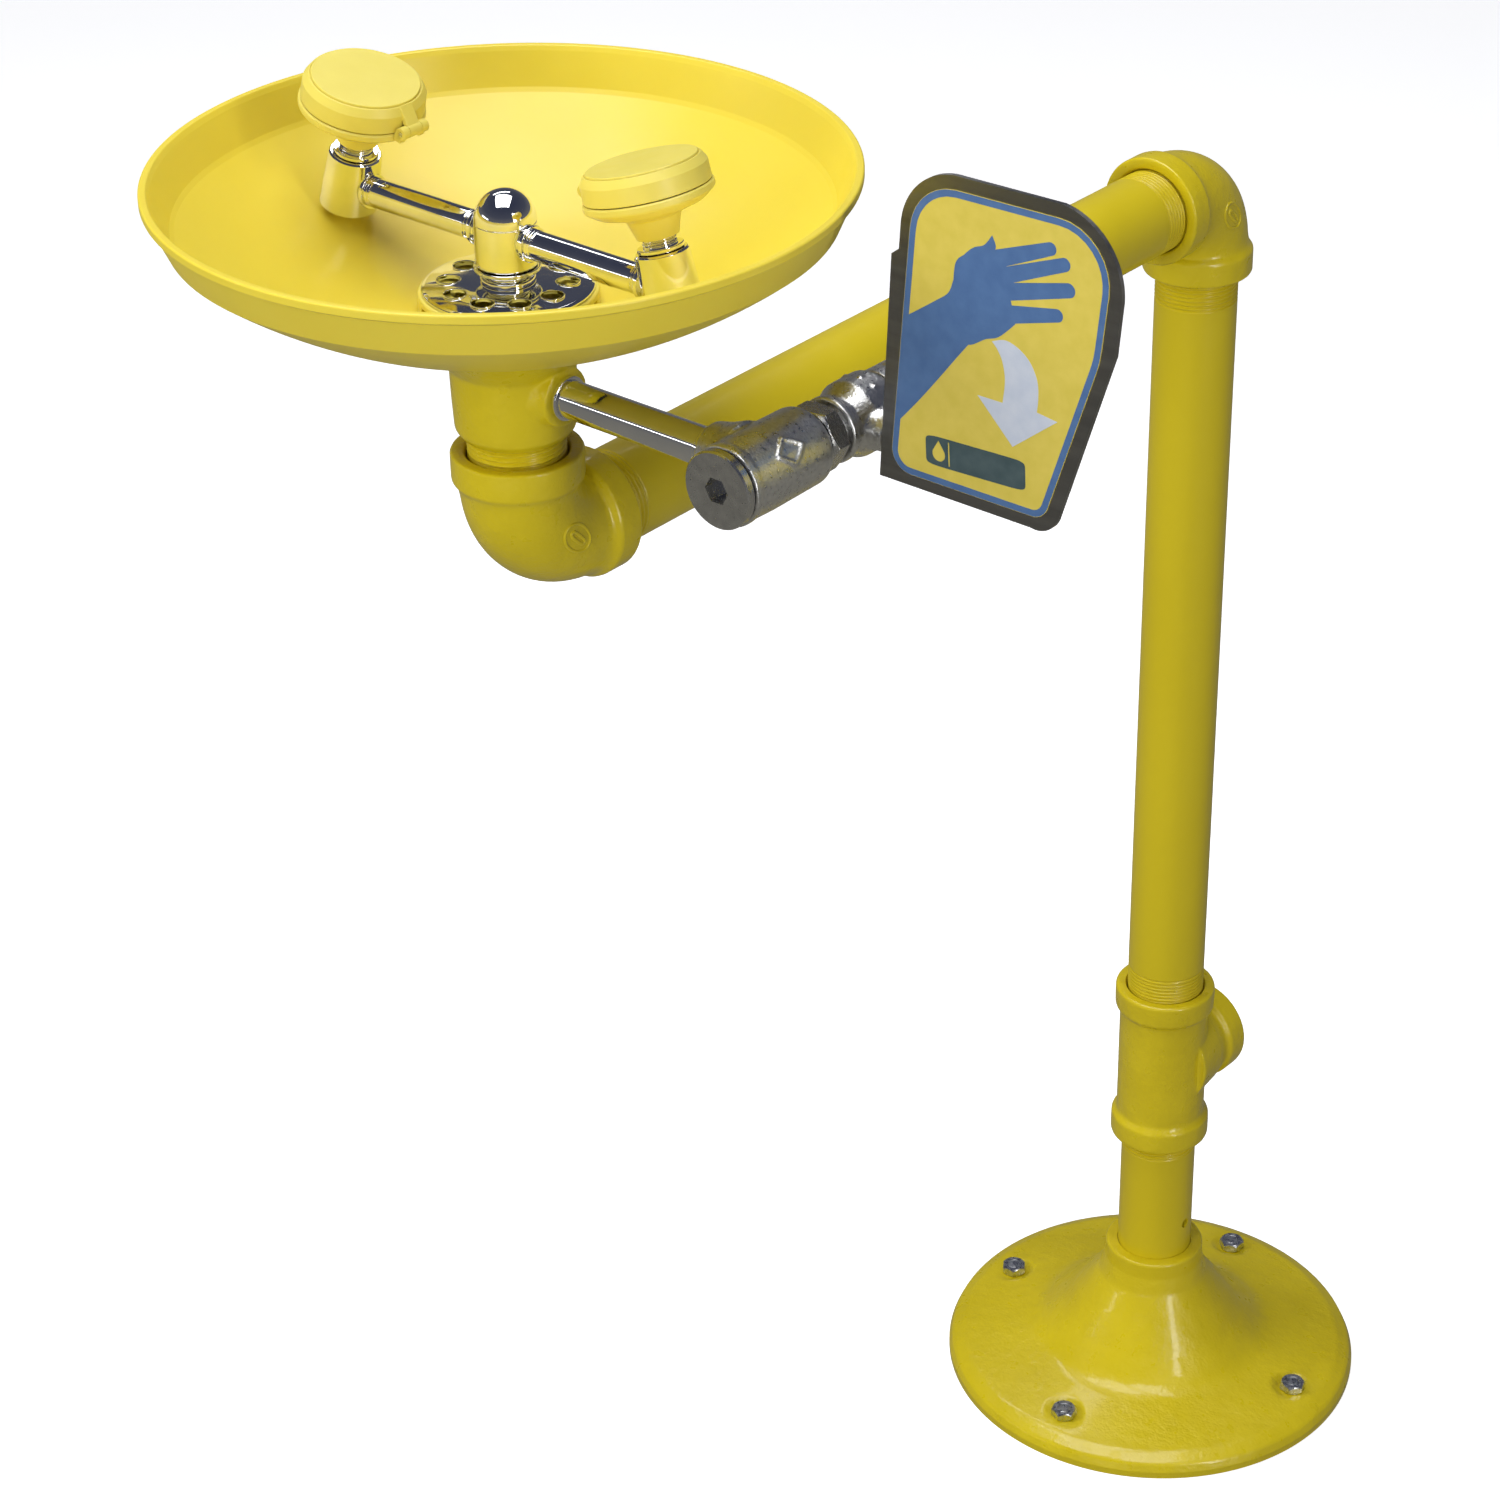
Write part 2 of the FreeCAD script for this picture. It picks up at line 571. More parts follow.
def make_bowl():
    """The bowl: a lipped, leaning wall on a shallow spherical dish with a flat clamping zone."""
    inner_floor = "bowl_floor + bowl_wall"
    bowl = turned("bowl_shell", [
        ("bowl_hole", "bowl_floor"),
        ("bowl_flat", "bowl_floor"),
        ("arc", "bowl_dish", 1),
        ("bowl_corner", "bowl_corner_height"),
        ("bowl_rim - 2", "bowl_top - 4.5"),
        ("bowl_rim", "bowl_top - 3.5"),
        ("bowl_rim", "bowl_top - 0.8"),
        ("bowl_rim - 0.8", "bowl_top"),
        ("bowl_rim - 3.2", "bowl_top"),
        ("bowl_rim - 4.6", "bowl_top - 2"),
        ("bowl_corner - bowl_wall + 0.4", "bowl_corner_height + 3.6"),
        ("bowl_corner - bowl_wall - 1.2", "bowl_corner_height + 1.8"),
        ("arc", "bowl_dish - bowl_wall", -1),
        ("bowl_flat", inner_floor),
        ("bowl_hole", inner_floor),
    ], BOWL_AXIS)
    keep(bowl, "bowl")
    lower, upper = "bowl_floor - seat_gasket", inner_floor
    for label, foot in (("bowl_gasket_lower", lower), ("bowl_gasket_upper", upper)):
        gasket = turned(label + "_ring", [
            ("bowl_hole + 0.5", foot), ("clamp_radius - 1", foot),
            ("clamp_radius - 1", f"({foot}) + seat_gasket"),
            ("bowl_hole + 0.5", f"({foot}) + seat_gasket")], BOWL_AXIS)
        keep(gasket, label)


def make_clamp_ring():
    """The slotted ring that screws into the drain body and clamps the bowl between gaskets."""
    foot = "bowl_floor + bowl_wall + seat_gasket"
    ring = turned("clamp_turning", [
        ("drain_cavity", "bowl_floor - 14"),
        ("bowl_hole - 0.6", "bowl_floor - 14"),
        ("bowl_hole - 0.6", foot),
        ("clamp_radius", foot),
        ("clamp_radius", f"{foot} + clamp_height - 1"),
        ("clamp_radius - 1", f"{foot} + clamp_height"),
        ("drain_cavity + 2", f"{foot} + clamp_height"),
        ("drain_cavity", f"{foot} + clamp_height - 2"),
    ], BOWL_AXIS)
    slots = [block(f"clamp_slot_{number}", "2 * clamp_radius + 4", "7", "3.5",
                   ("0", "-arm_reach", f"{foot} + 1.8"))
             for number in range(4)]
    for number, slot in enumerate(slots):
        turn = FreeCAD.Rotation(Vec(0, 0, 1), 45 * number + 22)
        corner = turn.multVec(Vec(-worth("clamp_radius + 2"), -3.5, 0))
        slot.setExpression("Placement.Base.x", str(corner.x))
        slot.setExpression("Placement.Base.y", linked("-arm_reach") + f" + {corner.y}")
        slot.Placement.Rotation = turn
    keep(less("clamp_slotted", ring, joined("clamp_slots", slots)), "drain_clamp_ring")


def make_strainer_disc():
    """The domed, perforated disc that keeps debris out of the waste."""
    foot = "bowl_floor + bowl_wall + seat_gasket + clamp_height"
    lift = f"{foot} + 0.2"
    disc = turned("strainer_pressing", [
        ("riser_radius + 0.3", f"{lift} + 1.4"),
        ("strainer_ring", f"{lift} + 1.1"),
        ("strainer_disc - 1", lift),
        ("strainer_disc", lift),
        ("strainer_disc", f"{lift} + 0.8"),
        ("strainer_disc - 1.2", f"{lift} + strainer_sheet"),
        ("strainer_ring", f"{lift} + 1.1 + strainer_sheet"),
        ("riser_radius + 0.3", f"{lift} + 1.4 + strainer_sheet"),
    ], BOWL_AXIS)
    hole = drill(disc, "drain_hole", "XY_Plane", [("strainer_ring", "0")], "strainer_hole",
                 length=f"{foot} + 20", reverse=True)
    around(disc, "drain_holes", hole, 10)
    keep(disc, "strainer_disc")
    nut_foot = f"{lift} + 1.4 + strainer_sheet + 0.1"
    nut = turned("disc_nut_turning", [
        ("riser_radius + fit_gap", nut_foot),
        ("riser_radius + 2.6", nut_foot),
        ("riser_radius + 2.6", f"{nut_foot} + 1.4"),
        ("riser_radius + 1.8", f"{nut_foot} + 2.2"),
        ("riser_radius + fit_gap", f"{nut_foot} + 2.2"),
    ], BOWL_AXIS)
    keep(nut, "disc_lock_nut")


# ---------------------------------------------------------------------------------------------
# Spray hub, arms and heads
# ---------------------------------------------------------------------------------------------
def make_riser_and_hub():
    riser = turned("riser_nipple", [
        ("riser_bore", "supply_height + 7"),
        ("riser_radius", "supply_height + 7"),
        *thread("riser_radius - 0.1", "hub_bottom - 5.2", 2),
        ("riser_radius", "hub_bottom - 0.6"),
        ("riser_radius", "hub_bottom + 6"),
        ("riser_bore", "hub_bottom + 6"),
    ], BOWL_AXIS)
    keep(riser, "supply_riser")
    shoulder = "spray_height + 6.7"
    post = turned("hub_turning", [
        ("0", "hub_bottom"),
        ("hub_radius - 1.6", "hub_bottom"),
        ("hub_radius", "hub_bottom + 1.2"),
        ("hub_radius", shoulder),
        ("arc", "hub_radius", 1),
        ("0", f"{shoulder} + hub_radius"),
    ], BOWL_AXIS)
    centre = ("0", "-arm_reach", "spray_height")
    bores = [
        rod("hub_riser_socket", "riser_radius + fit_gap", "8",
            ("0", "-arm_reach", "hub_bottom - 1")),
        rod("hub_well", "riser_bore", "spray_height - hub_bottom",
            ("0", "-arm_reach", "hub_bottom")),
    ]
    for side, turn in (("left", LEFT), ("right", RIGHT)):
        socket = (f"{SIDES[side]} * 9", "-arm_reach", "spray_height")
        bores.append(rod(f"hub_{side}_passage", "arm_bore", "10", centre, turn))
        bores.append(rod(f"hub_{side}_socket", "arm_tube + fit_gap", "10", socket, turn))
    keep(less("hub_casting", post, joined("hub_bores", bores)), "spray_hub")


def make_spray_arm(side):
    """A chrome tube from the hub to an outlet body, with thread showing at both ends."""
    length = "head_spacing - 5 - 9"
    collar = "arm_tube + 0.7"
    tube = turned(f"{side}_arm_tube", [
        ("arm_bore", "0"), ("arm_tube", "0"), ("arm_tube", "4.2"),
        *thread(collar, "4.2", 2),
        ("arm_tube", "8.6"),
        ("arm_tube", f"{length} - 12.5"),
        *thread(collar, f"{length} - 12.5", 2),
        ("arm_tube", f"{length} - 8.1"),
        ("arm_tube", length), ("arm_bore", length),
    ], (f"{SIDES[side]} * 9.1", "-arm_reach", "spray_height"), RIGHT if side == "right" else LEFT)
    keep(tube, f"spray_arm_{side}")


def make_outlet(side):
    """The tapered body that turns the water up into the head, and the nipple above it."""
    at, turn = head_point(side), HEAD_TURN[side]
    plug = turned(f"{side}_outlet_turning", [
        ("0", "-outlet_foot"),
        ("outlet_radius - 1.5", "-outlet_foot"),
        ("outlet_radius", "1.5 - outlet_foot"),
        ("outlet_top_radius", "outlet_top - 1"),
        ("outlet_top_radius - 1", "outlet_top"),
        ("0", "outlet_top"),
    ], at, turn)
    inward = LEFT if side == "right" else RIGHT
    inner = (f"{SIDES[side]} * (head_spacing - 4.6)", "-arm_reach", "spray_height")
    bores = [
        rod(f"{side}_outlet_socket", "arm_tube + fit_gap", "12", inner, inward),
        rod(f"{side}_outlet_cross", "arm_bore", "12", at, inward),
        rod(f"{side}_outlet_well", "arm_bore", "30", at, turn),
    ]
    top_socket = rod(f"{side}_outlet_top_socket", "7 + fit_gap", "20", at, turn)
    lifted = Vec(*[worth(c) for c in at]) + turn.multVec(Vec(0, 0, worth("outlet_top - 8")))
    for axis, value, text in zip("xyz", lifted, at):
        top_socket.setExpression("Placement.Base." + axis,
                                 f"{linked(text)} + {value - worth(text)}")
    bores.append(top_socket)
    keep(less(f"{side}_outlet_casting", plug, joined(f"{side}_outlet_bores", bores)),
         f"outlet_body_{side}")
    nipple = turned(f"{side}_head_nipple_tube", [
        ("arm_bore", "outlet_top - 7.9"),
        ("7", "outlet_top - 7.9"),
        ("7", "outlet_top + 0.3"),
        ("9.3", "outlet_top + 0.3"),
        ("9.3", "outlet_top + 2"),
        ("7", "outlet_top + 2"),
        ("7", "dish_top - 9.5"),
        ("arm_bore", "dish_top - 9.5"),
    ], at, turn)
    keep(nipple, f"head_nipple_{side}")


def make_head(side):
    """The spray dish, its flow parts, and the lid that a jet of water flips open."""
    at, turn = head_point(side), HEAD_TURN[side]
    edge = "dish_radius"
    cup = turned(f"{side}_dish_turning", [
        ("7 + fit_gap", "outlet_top + 2.4"),
        ("9.6", "outlet_top + 2.4"),
        ("10.4", "dish_top - 12.5"),
        ("15", "dish_top - 9.6"),
        (f"{edge} - 3", "dish_top - 6.6"),
        ("arc", "4", 1),
        (edge, "dish_top - 3.4"),
        (edge, "dish_top - 0.6"),
        (f"{edge} - 0.6", "dish_top"),
        (f"{edge} - dish_wall", "dish_top"),
        (f"{edge} - dish_wall", "dish_top - 4"),
        ("14", "dish_top - 7.4"),
        ("11", "dish_top - 9.3"),
        ("7 + fit_gap", "dish_top - 9.3"),
    ], at, turn)
    ears = []
    ear_width = "(hinge_width - knuckle_width) / 2 - knuckle_gap"
    for name, start in (("near", "-hinge_width / 2"), ("far", "knuckle_width / 2 + knuckle_gap")):
        barrel = rod(f"{side}_{name}_barrel", "hinge_barrel", ear_width,
                     ("-hinge_offset", start, "hinge_height"), BACKWARD)
        foot = block(f"{side}_{name}_ear", "4.4", ear_width, "2.6",
                     ("-hinge_offset - 0.6", start, "hinge_height - 4.6"))
        ears += [barrel, foot]
    pin_bore = rod(f"{side}_dish_pin_bore", "hinge_pin + fit_gap", "hinge_width + 2",
                   ("-hinge_offset", "-hinge_width / 2 - 1", "hinge_height"), BACKWARD)
    local = joined(f"{side}_ear_set", ears)
    drilled = less(f"{side}_ears_drilled", local, pin_bore)
    place(drilled, at, turn)
    keep(joined(f"{side}_dish_moulding", [cup, drilled]), f"spray_dish_{side}")

    plate = turned(f"{side}_diffuser_disc", [
        ("0", "dish_top - 3.6"), (f"{edge} - dish_wall - 0.1", "dish_top - 3.6"),
        (f"{edge} - dish_wall - 0.1", "dish_top - 2.1"), ("0", "dish_top - 2.1")], at, turn)
    for ring, (radius, count) in enumerate((("8", 8), ("14.5", 12), ("20.5", 18))):
        hole = drill(plate, f"{side}_jets_{ring}", "XY_Plane", [(radius, "0")], "1.1",
                     length="dish_top", reverse=True)
        around(plate, f"{side}_jet_ring_{ring}", hole, count)
    keep(plate, f"spray_diffuser_{side}")
    for label, radius, foot, top in (
            ("flow_foam", "13.5", "dish_top - 6.9", "dish_top - 4"),
            ("flow_control", "arm_bore + 2", "dish_top - 9.2", "dish_top - 7.4")):
        disc = turned(f"{side}_{label}_disc", [
            ("1.5", foot), (radius, foot), (radius, top), ("1.5", top)], at, turn)
        keep(disc, f"{label}_{side}")

    foot = "dish_top + lid_gap"
    cap = turned(f"{side}_lid_turning", [
        ("0", "lid_top - dish_wall"),
        ("lid_radius - dish_wall - 1", "lid_top - dish_wall - 1.6"),
        ("lid_radius - dish_wall", foot),
        ("lid_radius", foot),
        ("lid_radius - 0.3", "lid_top - 4"),
        ("lid_disc + 0.9", "lid_top - 0.9"),
        ("lid_disc + 0.3", "lid_top - 0.9"),
        ("lid_disc", "lid_top"),
        ("0", "lid_top"),
    ], at, turn)
    knuckle = rod(f"{side}_lid_barrel", "hinge_barrel", "knuckle_width",
                  ("-hinge_offset", "-knuckle_width / 2", "hinge_height"), BACKWARD)
    arm = block(f"{side}_lid_arm", "5.4", "knuckle_width", "3",
                ("-hinge_offset", "-knuckle_width / 2", "hinge_height + 0.6"))
    bore = rod(f"{side}_lid_pin_bore", "hinge_pin + fit_gap", "hinge_width + 2",
               ("-hinge_offset", "-hinge_width / 2 - 1", "hinge_height"), BACKWARD)
    tongue = less(f"{side}_lid_tongue", joined(f"{side}_lid_arm_set", [knuckle, arm]), bore)
    place(tongue, at, turn)
    keep(joined(f"{side}_lid_moulding", [cap, tongue]), f"lid_{side}")

    pin = rod(f"{side}_pin_rod", "hinge_pin", "hinge_width - 0.6", turn=BACKWARD,
              at=("-hinge_offset", "0.3 - hinge_width / 2", "hinge_height"))
    seated = joined(f"{side}_pin_seated", [pin, rod(
        f"{side}_pin_core", "hinge_pin / 2", "hinge_width - 0.6", turn=BACKWARD,
        at=("-hinge_offset", "0.3 - hinge_width / 2", "hinge_height"))])
    keep(place(seated, at, turn), f"lid_pin_{side}")


# ---------------------------------------------------------------------------------------------
# Supply: pipe, strainer, adapter, ball valve and push plate
# ---------------------------------------------------------------------------------------------
def make_supply_pipe():
    start = "14.2"
    finish = "valve_line - 12"
    tube = turned("supply_tube", [
        ("supply_bore", start), ("supply_radius", start),
        ("supply_radius", finish), ("supply_bore", finish),
    ], ("0", "-arm_reach", "supply_height"), RIGHT)
    keep(tube, "supply_pipe")
    collars = []
    for name, foot in (("drain", "side_boss_end + 0.2"), ("strainer", "valve_line - 27.4")):
        collars.append(turned(f"{name}_collar", [
            ("supply_radius + fit_gap", foot), ("collar_radius", foot),
            ("collar_radius", f"{foot} + 1.4"), ("collar_radius - 0.7", f"{foot} + 2.1"),
            ("supply_radius + fit_gap", f"{foot} + 2.1"),
        ], ("0", "-arm_reach", "supply_height"), RIGHT))
    group = doc.addObject("Part::Compound", "collar_group")
    group.Links = collars
    keep(group, "supply_collars")


def make_strainer():
    """The in-line strainer: a cast barrel with a side inlet boss, closed by a socket plug."""
    barrel = turned("strainer_barrel", [
        ("plug_radius - 2.6", "strainer_back + 8"),
        ("plug_radius - 2.6", "strainer_front"),
        ("strainer_radius - 0.6", "strainer_front"),
        ("strainer_radius", "strainer_front - 0.8"),
        ("strainer_radius - 0.3", "strainer_back + 5"),
        ("arc", "5", -1),
        ("strainer_radius - 4.8", "strainer_back"),
        ("riser_radius + 0.8", "strainer_back"),
        ("riser_radius + 0.8", "strainer_back + 8"),
    ], VALVE_AXIS, FORWARD)
    side = ("valve_line", "-arm_reach", "supply_height")
    boss = cone("strainer_boss", "side_boss + 1.4", "side_boss - 1", "25", side, LEFT)
    hollow = rod("strainer_hollow", "plug_radius - 2.6", "strainer_front - strainer_back - 9",
                 ("valve_line", "-strainer_back - 8.5", "supply_height"), FORWARD)
    opening = rod("strainer_inlet", "supply_radius + fit_gap", "30", side, LEFT)
    solid = joined("strainer_walls", [barrel, less("strainer_boss_open", boss, hollow)])
    keep(less("strainer_casting", solid, opening), "strainer_body")

    plug = turned("plug_turning", [
        ("0", "strainer_front - 9"),
        ("plug_radius - 2.7", "strainer_front - 9"),
        ("plug_radius - 2.7", "strainer_front + 0.8"),
        ("plug_radius", "strainer_front + 0.8"),
        ("plug_radius", "strainer_front + plug_head - 0.7"),
        ("plug_radius - 0.7", "strainer_front + plug_head"),
        ("0", "strainer_front + plug_head"),
    ], VALVE_AXIS, FORWARD)
    socket = hexagon("plug_socket_cut", "plug_socket", "8",
                     ("valve_line", "-strainer_front - plug_head + 6", "supply_height"), FORWARD)
    keep(less("plug_machined", plug, socket), "strainer_plug")
    seal = turned("plug_seal", [
        ("plug_radius - 2.6", "strainer_front + 0.1"),
        ("plug_radius - 0.4", "strainer_front + 0.1"),
        ("plug_radius - 0.4", "strainer_front + 0.7"),
        ("plug_radius - 2.6", "strainer_front + 0.7"),
    ], VALVE_AXIS, FORWARD)
    keep(seal, "plug_seal_ring")
    screen = turned("screen_tube", [
        ("9", "strainer_back + 9"), ("9.6", "strainer_back + 9"),
        ("9.6", "strainer_front - 9.4"), ("9", "strainer_front - 9.4"),
    ], VALVE_AXIS, FORWARD)
    keep(screen, "strainer_screen")


def make_adapter():
    """The hexagon nipple between strainer and valve."""
    start = "strainer_back - adapter_hex - 0.4"
    core = turned("adapter_turning", [
        ("supply_bore", "valve_front - 7"),
        ("riser_radius + 0.7", "valve_front - 7"),
        ("riser_radius + 0.7", "strainer_back + 7.5"),
        ("supply_bore", "strainer_back + 7.5"),
    ], VALVE_AXIS, FORWARD)
    spot = ("valve_line", f"-({start})", "supply_height")
    flats = hexagon("adapter_hexagon", "adapter_across", "adapter_hex", spot,
                    FORWARD * FreeCAD.Rotation(Vec(0, 0, 1), 30))
    chamfer = turned("adapter_chamfer", [
        ("supply_bore", start),
        ("adapter_across / 2 - 0.4", start),
        ("adapter_across / 2 + 1.9", f"{start} + 1.5"),
        ("adapter_across / 2 + 1.9", f"{start} + adapter_hex - 1.5"),
        ("adapter_across / 2 - 0.4", f"{start} + adapter_hex"),
        ("supply_bore", f"{start} + adapter_hex"),
    ], VALVE_AXIS, FORWARD)
    keep(joined("adapter_machined", [core, shared("adapter_nut", flats, chamfer)]), "hex_adapter")


def make_valve():
    """A two-piece ball valve, leaning a little about its pipe, with its stem toward +X."""
    at, turn = VALVE_AXIS, VALVE_ROLL * FORWARD
    shell = turned("valve_shell", [
        ("riser_radius + 0.8", "valve_front"),
        ("riser_radius + 0.8", "valve_front - 10"),
        ("ball_radius + ball_gap + 0.4", "valve_front - 10"),
        ("ball_radius + ball_gap + 0.4", "valve_joint"),
        ("valve_radius - 0.8", "valve_joint"),
        ("valve_radius + 0.5", "valve_joint + 2"),
        ("valve_radius + 0.5", "valve_centre + 4"),
        ("valve_radius - 3", "valve_front - 8"),
        ("valve_radius - 3", "valve_front - 5.4"),
        ("valve_radius - 1.6", "valve_front - 4.6"),
        ("valve_radius - 1.6", "valve_front - 0.8"),
        ("valve_radius - 2.4", "valve_front"),
    ], at, turn)
    boss = turned("valve_stem_boss", [
        ("0", "ball_radius"),
        ("stem_boss + 1.5", "ball_radius"),
        ("stem_boss", "valve_radius + 1"),
        ("stem_boss", "valve_radius + 4.5"),
        ("stem_boss - 0.8", "valve_radius + 5.3"),
        ("0", "valve_radius + 5.3"),
    ], STEM_POINT, STEM_TURN)
    cavity = turned("valve_cavity", [
        ("0", "valve_joint"), ("ball_radius + ball_gap + 0.4", "valve_joint"),
        ("ball_radius + ball_gap + 0.4", "valve_front - 10"), ("0", "valve_front - 10")], at, turn)
    stem_way = turned("valve_stem_way", [
        ("0", "0"), ("stem_radius + 0.1", "0"),
        ("stem_radius + 0.1", "valve_radius - 2"),
        ("stem_radius + 2", "valve_radius - 2"),
        ("stem_radius + 2", "valve_radius + 7"),
        ("0", "valve_radius + 7"),
    ], STEM_POINT, STEM_TURN)
    solid = joined("valve_walls", [shell, less("valve_boss_open", boss, cavity)])
    keep(less("valve_casting", solid, stem_way), "valve_body")

    tail = turned("valve_end_turning", [
        ("supply_bore", "valve_joint + 4"),
        ("ball_radius + ball_gap + 0.3", "valve_joint + 4"),
        ("ball_radius + ball_gap + 0.3", "valve_joint - 0.2"),
        ("valve_radius - 1", "valve_joint - 0.2"),
        ("valve_radius - 1.4", "valve_joint - 4"),
        ("valve_radius - 1.4", "valve_back"),
        ("inlet_radius", "valve_back"),
        ("inlet_radius", "valve_back + 14"),
        ("supply_bore", "valve_back + 15"),
    ], at, turn)
    flats = hexagon("valve_end_hexagon", "2 * valve_radius - 4", "12",
                    ("valve_line", "-valve_back - 0.5", "supply_height"), turn)
    centre = rod("valve_end_hollow", "inlet_radius + 1", "14",
                 ("valve_line", "-valve_back", "supply_height"), turn)
    rim = less("valve_end_flats", flats, centre)
    keep(joined("valve_end_machined", [tail, rim]), "valve_end_piece")

    for label, foot in (("ball_seat_front", "valve_centre + 6.6"),
                        ("ball_seat_rear", "valve_centre - 9.4")):
        ring = turned(label + "_ring", [
            ("supply_bore + 0.3", foot), ("ball_radius - 0.4", foot),
            ("ball_radius - 0.4", f"{foot} + 2.8"), ("supply_bore + 0.3", f"{foot} + 2.8"),
        ], at, turn)
        pocket = ball(label + "_pocket", "ball_radius + ball_gap", STEM_POINT)
        keep(less(label + "_cut", ring, pocket), label)

    sphere = ball("valve_ball_solid", "ball_radius", STEM_POINT)
    bore = rod("valve_ball_bore", "ball_bore", "4 * ball_radius", ("0", "0", "-2 * ball_radius"))
    slot = block("valve_ball_slot", "5", "3.2", "20",
                 ("ball_radius - 2.6", "-1.6", "-10"))
    cuts = joined("valve_ball_cuts", [bore, slot])
    place(cuts, STEM_POINT, VALVE_ROLL)
    keep(less("valve_ball_machined", sphere, cuts), "valve_ball")

    stem_end = "tab_offset + plate_sheet + 8"
    stem = turned("valve_stem_turning", [
        ("0", "ball_radius - 0.3"),
        ("stem_radius", "ball_radius - 0.3"),
        ("stem_radius", f"{stem_end} - 0.6"),
        ("stem_radius - 0.6", stem_end),
        ("0", stem_end),
    ], STEM_POINT, STEM_TURN)
    blade = block("valve_stem_blade", "2.4", "2.8", "4",
                  ("ball_radius - 2.3", "-1.4", "-2"))
    blade_set = joined("valve_stem_blade_set", [blade, block(
        "valve_stem_blade_core", "2.4", "1", "1", ("ball_radius - 2.3", "-0.5", "-0.5"))])
    place(blade_set, STEM_POINT, VALVE_ROLL)
    keep(joined("valve_stem_machined", [stem, blade_set]), "valve_stem")

    packing = turned("packing_ring", [
        ("stem_radius + 0.1", "valve_radius - 1.9"), ("stem_radius + 1.9", "valve_radius - 1.9"),
        ("stem_radius + 1.9", "valve_radius + 2"), ("stem_radius + 0.1", "valve_radius + 2"),
    ], STEM_POINT, STEM_TURN)
    keep(packing, "stem_packing")
    gland = turned("gland_turning", [
        ("stem_radius + 0.15", "valve_radius + 2.2"), ("stem_radius + 1.9", "valve_radius + 2.2"),
        ("stem_radius + 1.9", "valve_radius + 5.6"), ("stem_radius + 3.2", "valve_radius + 5.6"),
        ("stem_radius + 3.2", "valve_radius + 8.6"), ("stem_radius + 0.15", "valve_radius + 8.6"),
    ], STEM_POINT, STEM_TURN)
    keep(gland, "packing_nut")

    nut_seat = Vec(*[worth(c) for c in STEM_POINT]) + STEM_TURN.multVec(
        Vec(0, 0, worth("tab_offset + plate_sheet + 0.2")))
    nut = less("handle_nut_machined",
               hexagon("handle_nut_hexagon", "bolt_across", "5"),
               rod("handle_nut_bore", "stem_radius + fit_gap", "20", ("0", "0", "-2")))
    nut.Placement = FreeCAD.Placement(nut_seat, STEM_TURN)
    keep(nut, "handle_nut")


def plate_outline(margin):
    """The push plate's outline, in the plate's own X and Z from the stem axis."""
    return [
        (f"tab_offset + {margin}", f"{margin} - 8.8"),
        (f"100.5 - {margin} * 0.9", f"{margin} - 4.5"),
        ("arc", f"11 - {margin} * 0.75", 1),
        (f"113 - {margin}", f"4.5 + {margin} * 0.2"),
        (f"132 - {margin}", "78"),
        (f"132.8 - {margin}", "100"),
        ("arc", f"31 - {margin}", 1),
        (f"104 - {margin} * 0.3", f"130 - {margin}"),
        (f"58 + {margin} * 0.3", f"126.4 - {margin}"),
        ("arc", f"27.5 - {margin}", 1),
        (f"tab_offset + 3.6 + {margin}", f"100 - {margin} * 0.3"),
        (f"tab_offset + 3.4 + {margin}", "89"),
        (f"tab_offset + {margin}", "86"),
    ]


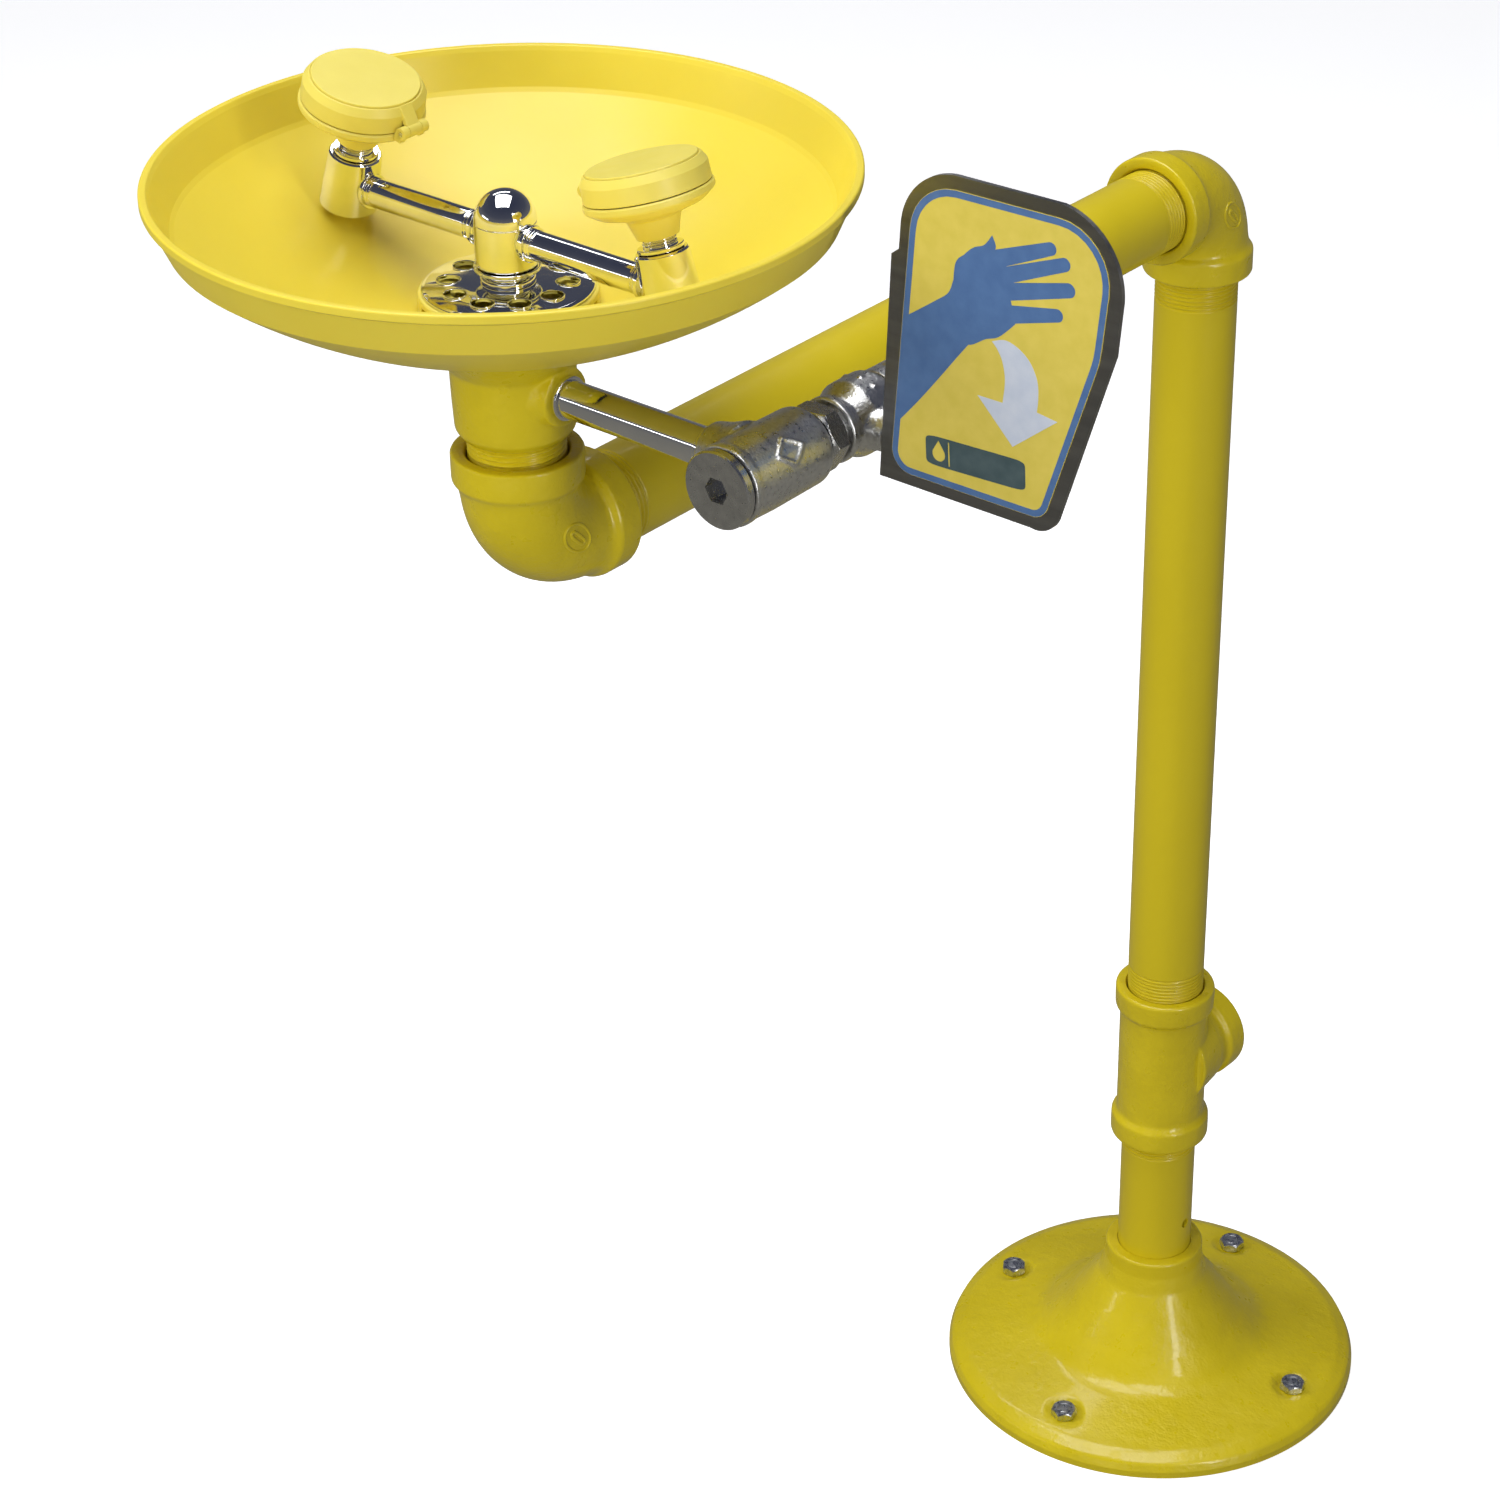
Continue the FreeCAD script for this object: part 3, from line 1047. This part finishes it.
def make_push_plate():
    """The bent push plate: a flag square to the user and a tab that the stem nut holds."""
    flag = doc.addObject("PartDesign::Body", "plate_flag")
    sketch = new_sketch(flag, "plate_flag_outline", "XZ_Plane", "plate_setback - plate_sheet")
    draw_outline(sketch, plate_outline("0"))
    pad = flag.newObject("PartDesign::Pad", "plate_flag_pad")
    pad.Profile = sketch
    pad.Length = worth("plate_sheet")
    pad.setExpression("Length", linked("plate_sheet"))

    tab = doc.addObject("PartDesign::Body", "plate_tab")
    sketch = new_sketch(tab, "plate_tab_outline", "YZ_Plane", "tab_offset")
    draw_outline(sketch, [
        ("-plate_setback", "-8.8"), ("8", "-8.8"), ("12", "-4"), ("12", "9"),
        ("8", "14"), ("-plate_setback + 6", "80"), ("-plate_setback", "86"),
    ])
    pad = tab.newObject("PartDesign::Pad", "plate_tab_pad")
    pad.Profile = sketch
    pad.Length = worth("plate_sheet")
    pad.setExpression("Length", linked("plate_sheet"))
    doc.recompute()
    stem_hole = rod("plate_stem_hole", "stem_radius + fit_gap", "20",
                    ("tab_offset - 8", "0", "0"), RIGHT)
    plate = less("plate_bent", joined("plate_blank", [flag, tab]), stem_hole)
    keep(place(plate, STEM_POINT, VALVE_ROLL), "push_plate")

    film = doc.addObject("PartDesign::Body", "label_sheet")
    sketch = new_sketch(film, "label_outline", "XZ_Plane", "plate_setback + 0.02")
    draw_outline(sketch, plate_outline("label_margin"))
    pad = film.newObject("PartDesign::Pad", "label_pad")
    pad.Profile = sketch
    pad.Length = worth("label_film")
    pad.setExpression("Length", linked("label_film"))
    keep(place(film, STEM_POINT, VALVE_ROLL), "plate_label")


# ---------------------------------------------------------------------------------------------
# Make everything, check it and write one STEP file for each sub-part
# ---------------------------------------------------------------------------------------------
make_floor_flange()
make_flange_bolts()
make_pedestal_pipes()
make_waste_tee()
make_elbows()
make_drain_body()
make_bowl()
make_clamp_ring()
make_strainer_disc()
make_riser_and_hub()
for head_side in SIDES:
    make_spray_arm(head_side)
    make_outlet(head_side)
    make_head(head_side)
make_supply_pipe()
make_strainer()
make_adapter()
make_valve()
make_push_plate()
doc.recompute()

for item in doc.Objects:
    if "Invalid" in item.State or "Error" in item.State:
        raise ValueError(f"{item.Name} failed: {item.State}")
for node in nodes:
    if node.Shape.isNull() or not node.Shape.isValid():
        raise ValueError(f"{node.Label} has no valid shape")
for node in nodes:
    node.Shape.exportStep(f"parts/{node.Label}.step")
    print(f"{node.Label:22s} {len(node.Shape.Solids)} solid(s) {node.Shape.Volume / 1000:9.2f} cm3")
print(len(nodes), "nodes")
